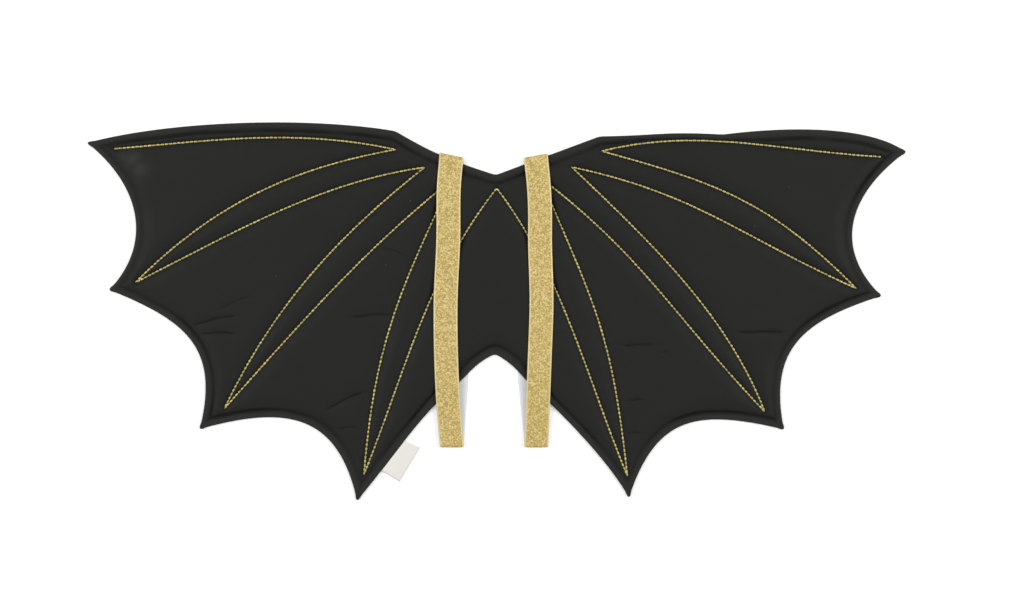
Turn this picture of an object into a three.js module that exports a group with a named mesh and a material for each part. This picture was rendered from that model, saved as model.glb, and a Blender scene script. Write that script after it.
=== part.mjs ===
// Child's dress-up bat wings, lying flat with the side that goes against the back facing up.
// One wadded cloth panel makes both wings and the middle. Two arm straps of flat elastic are sewn
// into its top and bottom seams, and a plain satin tab is sewn into the lower left seam.
// Millimetres. X runs from wing tip to wing tip, Y from the bottom tips to the top edge, Z is up.
import * as THREE from "three";

// Driving sizes of the panel.
const HALF_SPAN = 409; // middle line to the outermost tip
const DROP = 378.5; // lowest tip to the highest point of the top edge
const LOFT = 6; // height of the padded cloth between two lines of stitching
const EDGE_THICKNESS = 3; // pressed edge, where the seam allowance lies inside
const GROOVE_THICKNESS = 2.2; // cloth pulled down along the stitching and inside the edge band
const EDGE_BAND = 8.5; // width of the pressed band along the outline
const EDGE_ROUND = 0.8; // how far the turned edge stands out past its faces
const RISE = 15; // distance over which the padding swells up from a line of stitching
const CREASE_WIDTH = 5; // half width of a crease in the cloth

// Driving sizes of the straps.
const STRAP_WIDTH = 24.5;
const STRAP_THICKNESS = 1.2;
const SELVEDGE_WIDTH = 1.6; // plain woven border of the elastic
const SELVEDGE_THICKNESS = 0.9;
const STRAP_TOP_LOOP = 4; // how far the strap's fold stands past the top edge
const STRAP_TAIL = 0.1425; // share of the drop at which the strap folds back
const TAIL_FOLD_RADIUS = 1.5; // of the middle of the elastic, where it folds at its lower end
const TAIL_DRIFT = 9; // how far the folded end has slid towards the middle line at the lower seam

// Driving sizes of the satin tab.
const LABEL_LENGTH = 37; // along the seam
const LABEL_REACH = 16.5; // past the seam, at its upper end
const LABEL_FLARE = 4.5; // what its lower end reaches further than its upper end
const LABEL_LEAN = 3.5; // how far its outer edge lies ahead of its sewn edge
const LABEL_SPREAD = 2.7; // what its outer edge is longer than its sewn edge
const LABEL_THICKNESS = 0.8; // two layers of satin ribbon
const LABEL_PLACE = 0.367; // share of the edge up to the inner bend at which its middle is sewn

const SEAM_GAP = 0.3; // room left between the panel and what is sewn to it or lies on it

// Sizes of the mesh.
const OUTLINE_STEP = 9;
const STITCH_STEP = 8;
const FLANK = 4.6; // distance from a groove to the row of points beside it
const FILL_STEP = 14;
const RIM_ROOM = 5; // no point of the relief lies nearer to the outline
const STITCH_ROOM = 2.4; // least distance between points on the stitching
const BAND_ROOM = 4; // least distance from a point on the edge band to any before it
const FLANK_ROOM = 3.8; // the same for points beside a groove
const FILL_ROOM = 8.7; // the same for the points between
const STRAP_STEP = 11;
const FOLD_STEPS = 6; // facets round a fold of the strap
const STRAP_ROUTE_POINTS = 24;
const LABEL_STEPS = 6;

// Each row is one edge of a wing, from the corner before it to its own corner. out and up are shares
// of HALF_SPAN and DROP. leave and arrive are the angles in degrees between the straight chord and
// the curve at its two ends, and pull is the length of the curve's handles as a share of the chord.
const TOP_NOTCH = { out: 0.002, up: 0.859 };
const LEFT_EDGES = [
  { corner: "shoulder", out: 0.248, up: 0.975, leave: -6, arrive: 7, pull: 0.41 },
  { corner: "tip_1", out: 1.0, up: 0.944, leave: 12, arrive: -13, pull: 0.28 },
  { corner: "tip_2", out: 0.946, up: 0.556, leave: -43, arrive: 52, pull: 0.445 },
  { corner: "tip_3", out: 0.725, up: 0.189, leave: -35, arrive: 47, pull: 0.505 },
  { corner: "tip_4", out: 0.341, up: 0.0, leave: -40, arrive: 53, pull: 0.52 },
  { corner: "inner_bend", out: 0.0925, up: 0.312, leave: 0, arrive: 9, pull: 0.35 },
  { corner: "bottom_notch", out: 0.004, up: 0.387, leave: -5, arrive: 13, pull: 0.42 },
];
const RIGHT_EDGES = [
  { corner: "shoulder", out: 0.251, up: 0.961, leave: 0, arrive: 0, pull: 0.3 },
  { corner: "dip", out: 0.553, up: 0.966, leave: 0, arrive: -4, pull: 0.5 },
  { corner: "tip_1", out: 0.999, up: 0.92, leave: 13, arrive: -31, pull: 0.27 },
  { corner: "tip_2", out: 0.939, up: 0.54, leave: -44, arrive: 55, pull: 0.48 },
  { corner: "tip_3", out: 0.701, up: 0.188, leave: -36, arrive: 47, pull: 0.5 },
  { corner: "tip_4", out: 0.323, up: 0.008, leave: -37, arrive: 48, pull: 0.52 },
  { corner: "inner_bend", out: 0.0765, up: 0.313, leave: -11, arrive: 5, pull: 0.31 },
  { corner: "bottom_notch", out: -0.004, up: 0.387, leave: -7, arrive: 12, pull: 0.4 },
];

// The stitching of a wing is one zigzag line, from near its outermost tip to the middle line.
const LEFT_STITCH_START = { out: 0.934, up: 0.928 };
const LEFT_STITCHING = [
  { corner: "top_1", out: 0.247, up: 0.926, leave: -5, arrive: 12, pull: 0.36 },
  { corner: "base_1", out: 0.881, up: 0.576, leave: 17, arrive: -18, pull: 0.37 },
  { corner: "top_2", out: 0.176, up: 0.879, leave: -5, arrive: 14, pull: 0.34 },
  { corner: "base_2", out: 0.664, up: 0.244, leave: 12, arrive: -14, pull: 0.36 },
  { corner: "top_3", out: 0.109, up: 0.846, leave: -3, arrive: 7, pull: 0.34 },
  { corner: "base_3", out: 0.324, up: 0.069, leave: 9, arrive: -12, pull: 0.41 },
  { corner: "middle", out: 0.0, up: 0.824, leave: -3, arrive: 13, pull: 0.37 },
];
const RIGHT_STITCH_START = { out: 0.938, up: 0.907 };
const RIGHT_STITCHING = [
  { corner: "top_1", out: 0.256, up: 0.922, leave: -2, arrive: 15, pull: 0.36 },
  { corner: "base_1", out: 0.877, up: 0.56, leave: 13, arrive: -17, pull: 0.42 },
  { corner: "top_2", out: 0.183, up: 0.88, leave: -1, arrive: 11, pull: 0.42 },
  { corner: "base_2", out: 0.654, up: 0.235, leave: 8, arrive: -17, pull: 0.34 },
  { corner: "top_3", out: 0.106, up: 0.852, leave: 0, arrive: 9, pull: 0.4 },
  { corner: "base_3", out: 0.319, up: 0.065, leave: 7, arrive: -10, pull: 0.46 },
  { corner: "middle", out: 0.0, up: 0.824, leave: -2, arrive: 13, pull: 0.34 },
];

// Creases pressed into the cloth. side is -1 on the left wing and 1 on the right, and depth is in
// shares of LOFT.
const CREASES = [
  { side: -1, out: 0.715, up: 0.471, toOut: 0.637, toUp: 0.49, depth: 0.3 },
  { side: -1, out: 0.715, up: 0.442, toOut: 0.637, toUp: 0.442, depth: 0.3 },
  { side: -1, out: 0.656, up: 0.514, toOut: 0.586, toUp: 0.543, depth: 0.15 },
  { side: -1, out: 0.417, up: 0.241, toOut: 0.324, toUp: 0.289, depth: 0.3 },
  { side: -1, out: 0.356, up: 0.485, toOut: 0.258, toUp: 0.492, depth: 0.25 },
  { side: -1, out: 0.39, up: 0.191, toOut: 0.334, toUp: 0.194, depth: 0.2 },
  { side: -1, out: 0.297, up: 0.675, toOut: 0.224, toUp: 0.648, depth: 0.15 },
  { side: 1, out: 0.583, up: 0.446, toOut: 0.703, toUp: 0.446, depth: 0.3 },
  { side: 1, out: 0.304, up: 0.411, toOut: 0.385, toUp: 0.413, depth: 0.25 },
  { side: 1, out: 0.4, up: 0.392, toOut: 0.422, toUp: 0.396, depth: 0.2 },
  { side: 1, out: 0.321, up: 0.267, toOut: 0.358, toUp: 0.268, depth: 0.25 },
  { side: 1, out: 0.317, up: 0.181, toOut: 0.351, toUp: 0.18, depth: 0.2 },
];

// Middle of each strap, from the top edge (0) to its lower fold (1): aside is in shares of
// STRAP_WIDTH, counted outward from the strap's place at the top edge.
const STRAPS = [
  {
    name: "strap_left",
    side: -1,
    out: 0.1105,
    path: [
      { along: 0, aside: 0 },
      { along: 0.09, aside: 0.09 },
      { along: 0.29, aside: 0.125 },
      { along: 0.5, aside: 0.23 },
      { along: 0.68, aside: 0.215 },
      { along: 0.85, aside: 0.13 },
      { along: 1, aside: -0.01 },
    ],
  },
  {
    name: "strap_right",
    side: 1,
    out: 0.0955,
    path: [
      { along: 0, aside: 0 },
      { along: 0.08, aside: 0.1 },
      { along: 0.16, aside: 0.16 },
      { along: 0.3, aside: 0.17 },
      { along: 0.5, aside: 0.23 },
      { along: 0.7, aside: 0.155 },
      { along: 1, aside: 0.02 },
    ],
  },
];

const toRadians = THREE.MathUtils.degToRad;
const vector = (x, y) => new THREE.Vector2(x, y);
const place = (row, side) => vector(side * row.out * HALF_SPAN, row.up * DROP);

// Curve of one table row, bent the other way round on the mirrored side.
function rowCurve(from, row, side) {
  const to = place(row, side);
  const chord = to.clone().sub(from).multiplyScalar(row.pull);
  const origin = vector(0, 0);
  const leave = chord.clone().rotateAround(origin, side * toRadians(row.leave));
  const arrive = chord.clone().rotateAround(origin, side * toRadians(row.arrive));
  return new THREE.CubicBezierCurve(from, from.clone().add(leave), to.clone().sub(arrive), to);
}

// Points along a run of table rows, a step apart, the first corner and every other one among them.
function trace(start, rows, side, step) {
  const points = [place(start, side)];
  for (const row of rows) {
    const curve = rowCurve(points[points.length - 1], row, side);
    const count = Math.max(2, Math.round(curve.getLength() / step));
    points.push(...curve.getSpacedPoints(count).slice(1));
  }
  return points;
}

// Shortest distance from a point to a run of points joined by straight lines.
function distanceTo(line, point) {
  let least = Infinity;
  for (let i = 1; i < line.length; i++) {
    const a = line[i - 1];
    const run = line[i].clone().sub(a);
    const share = THREE.MathUtils.clamp(point.clone().sub(a).dot(run) / run.lengthSq(), 0, 1);
    least = Math.min(least, a.clone().addScaledVector(run, share).distanceTo(point));
  }
  return least;
}

function isInside(outline, point) {
  let inside = false;
  for (let i = 0, j = outline.length - 1; i < outline.length; j = i++) {
    const a = outline[i];
    const b = outline[j];
    const crosses = a.y > point.y !== b.y > point.y;
    if (crosses && point.x < a.x + ((b.x - a.x) * (point.y - a.y)) / (b.y - a.y)) inside = !inside;
  }
  return inside;
}

// A closed outline moved inward by a distance, each corner along the line that halves it.
function inset(outline, distance) {
  return outline.map((point, i) => {
    const before = outline[(i + outline.length - 1) % outline.length];
    const after = outline[(i + 1) % outline.length];
    const ahead = after.clone().sub(point).normalize();
    const along = ahead.add(point.clone().sub(before).normalize()).normalize();
    return vector(point.x - along.y * distance, point.y + along.x * distance);
  });
}

// Outline of the panel, anticlockwise seen from above: down the left wing, then up the right one.
const leftOutline = trace(TOP_NOTCH, LEFT_EDGES, -1, OUTLINE_STEP);
const rightOutline = trace({ ...TOP_NOTCH, out: -TOP_NOTCH.out }, RIGHT_EDGES, 1, OUTLINE_STEP);
const outline = [...leftOutline, ...rightOutline.slice(1, -1).reverse()];
const closedOutline = [...outline, outline[0]];
const stitching = [
  trace(LEFT_STITCH_START, LEFT_STITCHING, -1, STITCH_STEP),
  trace(RIGHT_STITCH_START, RIGHT_STITCHING, 1, STITCH_STEP),
];
const creases = CREASES.map((row) => ({
  from: place(row, row.side),
  to: place({ out: row.toOut, up: row.toUp }, row.side),
  depth: row.depth * LOFT,
}));

// Height of the panel's upper face.
function panelHeight(point) {
  const fromEdge = distanceTo(closedOutline, point);
  if (fromEdge < EDGE_BAND) {
    return THREE.MathUtils.lerp(EDGE_THICKNESS, GROOVE_THICKNESS, (fromEdge / EDGE_BAND) ** 2);
  }
  const fromStitch = Math.min(...stitching.map((line) => distanceTo(line, point)));
  const fromGroove = Math.min(fromStitch, fromEdge - EDGE_BAND);
  const swell = 1 - (1 - Math.min(1, fromGroove / RISE)) ** 2;
  let height = GROOVE_THICKNESS + (LOFT - GROOVE_THICKNESS) * swell;
  for (const crease of creases) {
    const away = distanceTo([crease.from, crease.to], point) / CREASE_WIDTH;
    height -= crease.depth * swell * Math.exp(-away * away);
  }
  return height;
}

// Points for the panel's upper face: its rim first, then the rows along the grooves, then the fill.
function panelPoints(rim) {
  const points = [...rim];
  const add = (point, room) => {
    if (!isInside(rim, point) || distanceTo(closedOutline, point) < RIM_ROOM) return;
    if (points.every((other) => other.distanceTo(point) >= room)) points.push(point);
  };
  const addBeside = (line, distance, room) => {
    for (let i = 1; i < line.length; i++) {
      const middle = line[i].clone().add(line[i - 1]).multiplyScalar(0.5);
      const along = line[i].clone().sub(line[i - 1]).normalize();
      add(vector(middle.x - along.y * distance, middle.y + along.x * distance), room);
    }
  };
  for (const line of stitching) line.forEach((point) => add(point, STITCH_ROOM));
  addBeside(closedOutline, EDGE_BAND, BAND_ROOM);
  for (const line of stitching) {
    addBeside(line, FLANK, FLANK_ROOM);
    addBeside(line, -FLANK, FLANK_ROOM);
  }
  addBeside(closedOutline, EDGE_BAND + FLANK, FLANK_ROOM);
  for (const { from, to } of creases) {
    const count = Math.max(2, Math.round(from.distanceTo(to) / STITCH_STEP));
    const line = new THREE.LineCurve(from, to).getSpacedPoints(count);
    line.forEach((point) => add(point, FLANK_ROOM));
    addBeside(line, CREASE_WIDTH, FLANK_ROOM);
    addBeside(line, -CREASE_WIDTH, FLANK_ROOM);
  }
  const rowHeight = (FILL_STEP * Math.sqrt(3)) / 2;
  for (let row = 0; row * rowHeight < DROP; row++) {
    const shift = row % 2 ? FILL_STEP / 2 : 0;
    for (let x = shift - HALF_SPAN; x < HALF_SPAN; x += FILL_STEP) {
      add(vector(x, row * rowHeight), FILL_ROOM);
    }
  }
  return points;
}

// Delaunay triangles of a set of points, each as three indices in anticlockwise order. Every point
// in turn takes out the triangles whose circle it lies in, and fans new ones round itself.
function delaunay(points) {
  const far = 20 * HALF_SPAN;
  const all = [...points, vector(-far, -far), vector(far, -far), vector(0, far)];
  const makeTriangle = (a, b, c) => {
    const p = all[a];
    const q = all[b].clone().sub(p);
    const r = all[c].clone().sub(p);
    const scale = 2 * q.cross(r);
    const x = (r.y * q.lengthSq() - q.y * r.lengthSq()) / scale;
    const y = (q.x * r.lengthSq() - r.x * q.lengthSq()) / scale;
    return { corners: [a, b, c], x: p.x + x, y: p.y + y, reach: x * x + y * y };
  };
  const count = points.length;
  let triangles = [makeTriangle(count, count + 1, count + 2)];
  for (let i = 0; i < count; i++) {
    const { x, y } = all[i];
    const open = new Map();
    const kept = [];
    for (const triangle of triangles) {
      if ((x - triangle.x) ** 2 + (y - triangle.y) ** 2 >= triangle.reach) {
        kept.push(triangle);
        continue;
      }
      const [a, b, c] = triangle.corners;
      for (const [from, to] of [[a, b], [b, c], [c, a]]) {
        if (!open.delete(to + "_" + from)) open.set(from + "_" + to, [from, to]);
      }
    }
    for (const [from, to] of open.values()) kept.push(makeTriangle(from, to, i));
    triangles = kept;
  }
  return triangles.map((triangle) => triangle.corners).filter((c) => Math.max(...c) < count);
}

function meshFrom(name, positions, triangles, material) {
  const geometry = new THREE.BufferGeometry();
  geometry.setAttribute("position", new THREE.Float32BufferAttribute(positions.flat(), 3));
  geometry.setIndex(triangles.flat());
  geometry.computeVertexNormals();
  const mesh = new THREE.Mesh(geometry, material);
  mesh.name = name;
  return mesh;
}

// The padded panel: a relief above, a turned edge all round and a flat face where it lies.
const rim = inset(outline, EDGE_ROUND);
const topPoints = panelPoints(rim);
const topTriangles = delaunay(topPoints).filter(([a, b, c]) => {
  const middle = topPoints[a].clone().add(topPoints[b]).add(topPoints[c]).divideScalar(3);
  return isInside(rim, middle);
});
const topHeights = topPoints.map((point, i) => (i < rim.length ? EDGE_THICKNESS : panelHeight(point)));

function makePanel() {
  const positions = [
    ...topPoints.map((point, i) => [point.x, point.y, topHeights[i]]),
    ...outline.map((point) => [point.x, point.y, EDGE_THICKNESS / 2]),
    ...rim.map((point) => [point.x, point.y, 0]),
  ];
  const triangles = [...topTriangles];
  const edgeStart = topPoints.length;
  const baseStart = edgeStart + outline.length;
  for (let i = 0; i < outline.length; i++) {
    const next = (i + 1) % outline.length;
    triangles.push([i, edgeStart + i, next], [next, edgeStart + i, edgeStart + next]);
    triangles.push([edgeStart + i, baseStart + i, edgeStart + next]);
    triangles.push([edgeStart + next, baseStart + i, baseStart + next]);
  }
  for (const [a, b, c] of THREE.ShapeUtils.triangulateShape(rim, [])) {
    triangles.push([baseStart + a, baseStart + c, baseStart + b]);
  }
  const cloth = new THREE.MeshStandardMaterial({ color: 0x2c2b2a, roughness: 0.62, metalness: 0 });
  return meshFrom("wing_panel", positions, triangles, cloth);
}

// Where the line x = const crosses the outline: its highest or its lowest crossing.
function edgeAt(x, pick) {
  const crossings = [];
  for (let i = 1; i < closedOutline.length; i++) {
    const a = closedOutline[i - 1];
    const b = closedOutline[i];
    if (a.x > x !== b.x > x) crossings.push(a.y + ((b.y - a.y) * (x - a.x)) / (b.x - a.x));
  }
  return pick(...crossings);
}

// The line that a stretched band takes over a row of supports, each a point of place and height.
function stretchOver(supports) {
  const band = [];
  for (const support of supports) {
    while (band.length > 1) {
      const [a, b] = band.slice(-2);
      const turn = b.clone().sub(a).cross(support.clone().sub(b));
      if (turn < 0) break;
      band.pop();
    }
    band.push(support);
  }
  return band;
}

// Height of a line of such points at one place along it.
function heightOn(band, y) {
  let i = 1;
  while (i < band.length - 1 && band[i].x < y) i++;
  const run = (y - band[i - 1].x) / (band[i].x - band[i - 1].x);
  const share = THREE.MathUtils.clamp(run, 0, 1);
  return THREE.MathUtils.lerp(band[i - 1].y, band[i].y, share);
}

// Places along a strap: its middle line seen from above, and the heights that it takes.
function strapCourse(strap) {
  const topX = strap.side * strap.out * HALF_SPAN;
  const seamLevel = STRAP_THICKNESS / 2 + SEAM_GAP;
  const upperLevel = EDGE_THICKNESS + SEAM_GAP + STRAP_THICKNESS / 2;
  const topRadius = (upperLevel - seamLevel) / 2;
  const foldY = edgeAt(topX, Math.max) + STRAP_TOP_LOOP - topRadius;
  const tailY = STRAP_TAIL * DROP + TAIL_FOLD_RADIUS;
  const route = new THREE.SplineCurve(strap.path.map((row) => vector(row.along, row.aside)));
  const line = route.getPoints(STRAP_ROUTE_POINTS);
  const middleX = (y) => topX + strap.side * STRAP_WIDTH * heightOn(line, (foldY - y) / (foldY - tailY));

  const clearance = SEAM_GAP + STRAP_THICKNESS / 2;
  const room = STRAP_WIDTH / 2 + OUTLINE_STEP;
  const supports = topPoints
    .map((point, i) => ({ x: point.x, lift: vector(point.y, topHeights[i] + clearance) }))
    .filter(({ x, lift }) => Math.abs(x - middleX(lift.x)) < room && lift.x > tailY && lift.x < foldY)
    .map(({ lift }) => lift)
    .sort((a, b) => a.x - b.x);
  const tailLevel = STRAP_THICKNESS / 2 + 2 * TAIL_FOLD_RADIUS;
  const band = stretchOver([vector(tailY, tailLevel), ...supports, vector(foldY, upperLevel)]);
  const lowerX = middleX(edgeAt(middleX(tailY), Math.min)) - strap.side * TAIL_DRIFT;
  return { topX, lowerX, seamLevel, topRadius, foldY, tailY, tailLevel, middleX, band };
}

// A half turn of the elastic round a fold, as steps of place and height.
function foldSteps(y, level, radius, outward, upward) {
  return Array.from({ length: FOLD_STEPS + 1 }, (_, i) => {
    const turn = (Math.PI * i) / FOLD_STEPS;
    return vector(y + outward * Math.sin(turn) * radius, level + upward * (1 - Math.cos(turn)) * radius);
  });
}

// The way that one thread of a strap takes, a fixed distance to one side of its middle line: out of
// the top seam, over the edge, down the panel, round the lower fold and back to the lower seam.
function strapThread(course, across) {
  const { topX, lowerX, seamLevel, topRadius, foldY, tailY, tailLevel, middleX, band } = course;
  const edgeLeft = edgeAt(topX - STRAP_WIDTH / 2, Math.max);
  const edgeRight = edgeAt(topX + STRAP_WIDTH / 2, Math.max);
  const lean = ((edgeRight - edgeLeft) / 2) * (across / STRAP_WIDTH);
  const topSeam = edgeAt(topX + across, Math.max) + SEAM_GAP;
  const foldStart = Math.max(foldY + lean, topSeam + SEAM_GAP);
  const thread = [new THREE.Vector3(topX + across, topSeam, seamLevel)];
  for (const step of foldSteps(foldStart, seamLevel, topRadius, 1, 1)) {
    thread.push(new THREE.Vector3(topX + across, step.x, step.y));
  }
  const steps = Math.round((foldY - tailY) / STRAP_STEP);
  for (let i = 1; i < steps; i++) {
    const y = THREE.MathUtils.lerp(foldY, tailY, i / steps);
    const shift = i < 2 ? lean / 2 : 0;
    thread.push(new THREE.Vector3(middleX(y) + across, y + shift, heightOn(band, y)));
  }
  for (const step of foldSteps(tailY, tailLevel, TAIL_FOLD_RADIUS, -1, -1)) {
    thread.push(new THREE.Vector3(middleX(tailY) + across, step.x, step.y));
  }
  const lowerSeam = edgeAt(lowerX + across, Math.min) - SEAM_GAP;
  const backSteps = Math.max(2, Math.round((edgeAt(lowerX, Math.min) - tailY) / STRAP_STEP));
  for (let i = 1; i <= backSteps; i++) {
    const x = THREE.MathUtils.lerp(middleX(tailY), lowerX, i / backSteps) + across;
    const y = THREE.MathUtils.lerp(tailY, lowerSeam, i / backSteps);
    thread.push(new THREE.Vector3(x, y, STRAP_THICKNESS / 2));
  }
  return thread;
}

// Closed mesh over a row of sections, each with the same number of corners in the same order.
function loft(name, sections, material) {
  const size = sections[0].length;
  const triangles = [];
  for (let s = 1; s < sections.length; s++) {
    for (let i = 0; i < size; i++) {
      const next = (i + 1) % size;
      const [a, b] = [(s - 1) * size + i, (s - 1) * size + next];
      triangles.push([a, b, a + size], [b, b + size, a + size]);
    }
  }
  const last = (sections.length - 1) * size;
  for (let i = 1; i < size - 1; i++) {
    triangles.push([0, i + 1, i], [last, last + i, last + i + 1]);
  }
  const positions = sections.flat().map((corner) => corner.toArray());
  return meshFrom(name, positions, triangles, material);
}

// A strap is flat elastic with a thinner woven border on both sides.
function makeStrap(strap) {
  const course = strapCourse(strap);
  const inner = STRAP_WIDTH / 2 - SELVEDGE_WIDTH;
  const columns = [
    { across: -STRAP_WIDTH / 2, thickness: SELVEDGE_THICKNESS },
    { across: -inner, thickness: STRAP_THICKNESS },
    { across: -inner / 2, thickness: STRAP_THICKNESS },
    { across: 0, thickness: STRAP_THICKNESS },
    { across: inner / 2, thickness: STRAP_THICKNESS },
    { across: inner, thickness: STRAP_THICKNESS },
    { across: STRAP_WIDTH / 2, thickness: SELVEDGE_THICKNESS },
  ];
  const threads = columns.map((column) => strapThread(course, column.across));
  const face = (side, station) =>
    threads.map((thread, i) => {
      const before = thread[Math.max(0, station - 1)];
      const after = thread[Math.min(thread.length - 1, station + 1)];
      const away = new THREE.Vector3(0, before.z - after.z, after.y - before.y).normalize();
      return thread[station].clone().addScaledVector(away, (side * columns[i].thickness) / 2);
    });
  const sections = threads[0].map((_, station) => [...face(1, station), ...face(-1, station).reverse()]);
  const elastic = new THREE.MeshStandardMaterial({ color: 0xc8b26c, roughness: 0.45, metalness: 0.35 });
  return loft(strap.name, sections, elastic);
}

// The satin tab lies flat beside the lower part of the left wing's inner edge, where it is sewn in.
function makeLabel() {
  const bend = LEFT_EDGES.findIndex((row) => row.corner === "inner_bend");
  const seam = rowCurve(place(LEFT_EDGES[bend - 1], -1), LEFT_EDGES[bend], -1);
  const half = LABEL_LENGTH / 2 / seam.getLength();
  const seamLevel = (EDGE_THICKNESS - LABEL_THICKNESS) / 2;
  const sections = Array.from({ length: LABEL_STEPS + 1 }, (_, i) => {
    const share = i / LABEL_STEPS;
    const at = seam.getPointAt(LABEL_PLACE + (2 * share - 1) * half);
    const along = seam.getTangentAt(LABEL_PLACE + (2 * share - 1) * half);
    const outward = vector(along.y, -along.x);
    const sewn = at.clone().addScaledVector(outward, SEAM_GAP);
    const reach = LABEL_REACH + LABEL_FLARE * (1 - share);
    const lean = LABEL_LEAN + LABEL_SPREAD * (share - 0.5);
    const free = at.clone().addScaledVector(outward, reach).addScaledVector(along, lean);
    return [
      new THREE.Vector3(sewn.x, sewn.y, seamLevel + LABEL_THICKNESS),
      new THREE.Vector3(free.x, free.y, LABEL_THICKNESS),
      new THREE.Vector3(free.x, free.y, 0),
      new THREE.Vector3(sewn.x, sewn.y, seamLevel),
    ];
  });
  const satin = new THREE.MeshStandardMaterial({ color: 0xebe8e8, roughness: 0.4, metalness: 0 });
  return loft("label", sections, satin);
}

// The part's origin is under the middle of the whole thing, on the surface that it lies on.
const wings = new THREE.Group();
wings.add(makePanel(), ...STRAPS.map(makeStrap), makeLabel());
const box = new THREE.Box3().setFromObject(wings);
const middle = box.getCenter(new THREE.Vector3());
wings.position.set(-middle.x, -middle.y, -box.min.z);
const part = new THREE.Group();
part.add(wings);

export default part;
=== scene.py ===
import math

import bpy
import numpy as np
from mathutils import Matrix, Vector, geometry, kdtree, noise


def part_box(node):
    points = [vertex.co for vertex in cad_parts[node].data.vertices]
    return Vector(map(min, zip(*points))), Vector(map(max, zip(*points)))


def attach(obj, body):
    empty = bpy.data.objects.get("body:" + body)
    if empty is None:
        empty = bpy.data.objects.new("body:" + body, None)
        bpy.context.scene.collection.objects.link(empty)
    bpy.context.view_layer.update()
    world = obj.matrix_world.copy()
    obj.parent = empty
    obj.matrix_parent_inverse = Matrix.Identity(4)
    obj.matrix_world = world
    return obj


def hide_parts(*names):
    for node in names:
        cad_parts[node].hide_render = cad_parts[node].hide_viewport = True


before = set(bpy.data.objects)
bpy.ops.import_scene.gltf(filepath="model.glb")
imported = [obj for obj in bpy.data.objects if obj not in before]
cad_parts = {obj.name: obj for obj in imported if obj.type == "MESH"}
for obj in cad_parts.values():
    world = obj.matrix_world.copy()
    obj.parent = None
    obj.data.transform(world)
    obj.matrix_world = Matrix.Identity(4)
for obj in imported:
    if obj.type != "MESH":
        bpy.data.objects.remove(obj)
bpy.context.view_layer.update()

# Wing panel. Two layers of black cotton sateen with a thin sheet of wadding between them. They are
# sewn together along the outline, turned right side out and pressed, so a flat band lies along the
# edge, and then quilted along the bone lines, where the thread pulls the cloth down.
HALF_SPAN = 0.409
DROP = 0.3785
LOFT = 0.006
EDGE_THICKNESS = 0.003
GROOVE_THICKNESS = 0.0022
EDGE_BAND = 0.0085
RISE = 0.015
GROOVE_INSET = 0.0004
GROOVE_WIDTH = 0.0014
GROOVE_DEPTH = 0.0008
STITCH_DEPTH = 0.0006
GATHER_HEIGHT = 0.00035
PUCKER_HEIGHT = 0.0005
PUCKER_REACH = 0.004
CREASE_WIDTH = 0.005
CREASE_CORE = 0.001

# Each row is one edge of a wing, from the corner before it to its own corner. out and up are shares
# of HALF_SPAN and DROP, leave and arrive are the angles in degrees between the chord and the curve
# at its two ends, and pull is the length of the curve's handles as a share of the chord.
TOP_NOTCH = (0.002, 0.859)
LEFT_EDGES = (
    # corner, out, up, leave, arrive, pull
    ("shoulder", 0.248, 0.975, -6, 7, 0.41),
    ("tip_1", 1.0, 0.944, 12, -13, 0.28),
    ("tip_2", 0.946, 0.556, -43, 52, 0.445),
    ("tip_3", 0.725, 0.189, -35, 47, 0.505),
    ("tip_4", 0.341, 0.0, -40, 53, 0.52),
    ("inner_bend", 0.0925, 0.312, 0, 9, 0.35),
    ("bottom_notch", 0.004, 0.387, -5, 13, 0.42),
)
RIGHT_EDGES = (
    # corner, out, up, leave, arrive, pull
    ("shoulder", 0.251, 0.961, 0, 0, 0.3),
    ("dip", 0.553, 0.966, 0, -4, 0.5),
    ("tip_1", 0.999, 0.92, 13, -31, 0.27),
    ("tip_2", 0.939, 0.54, -44, 55, 0.48),
    ("tip_3", 0.701, 0.188, -36, 47, 0.5),
    ("tip_4", 0.323, 0.008, -37, 48, 0.52),
    ("inner_bend", 0.0765, 0.313, -11, 5, 0.31),
    ("bottom_notch", -0.004, 0.387, -7, 12, 0.4),
)

# The stitching of a wing is one zigzag line, from near its outermost tip to the middle line.
LEFT_STITCH_START = (0.934, 0.928)
LEFT_STITCHING = (
    # corner, out, up, leave, arrive, pull
    ("top_1", 0.247, 0.926, -5, 12, 0.36),
    ("base_1", 0.881, 0.576, 17, -18, 0.37),
    ("top_2", 0.176, 0.879, -5, 14, 0.34),
    ("base_2", 0.664, 0.244, 12, -14, 0.36),
    ("top_3", 0.109, 0.846, -3, 7, 0.34),
    ("base_3", 0.324, 0.069, 9, -12, 0.41),
    ("middle", 0.0, 0.824, -3, 13, 0.37),
)
RIGHT_STITCH_START = (0.938, 0.907)
RIGHT_STITCHING = (
    # corner, out, up, leave, arrive, pull
    ("top_1", 0.256, 0.922, -2, 15, 0.36),
    ("base_1", 0.877, 0.56, 13, -17, 0.42),
    ("top_2", 0.183, 0.88, -1, 11, 0.42),
    ("base_2", 0.654, 0.235, 8, -17, 0.34),
    ("top_3", 0.106, 0.852, 0, 9, 0.4),
    ("base_3", 0.319, 0.065, 7, -10, 0.46),
    ("middle", 0.0, 0.824, -2, 13, 0.34),
)

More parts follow.
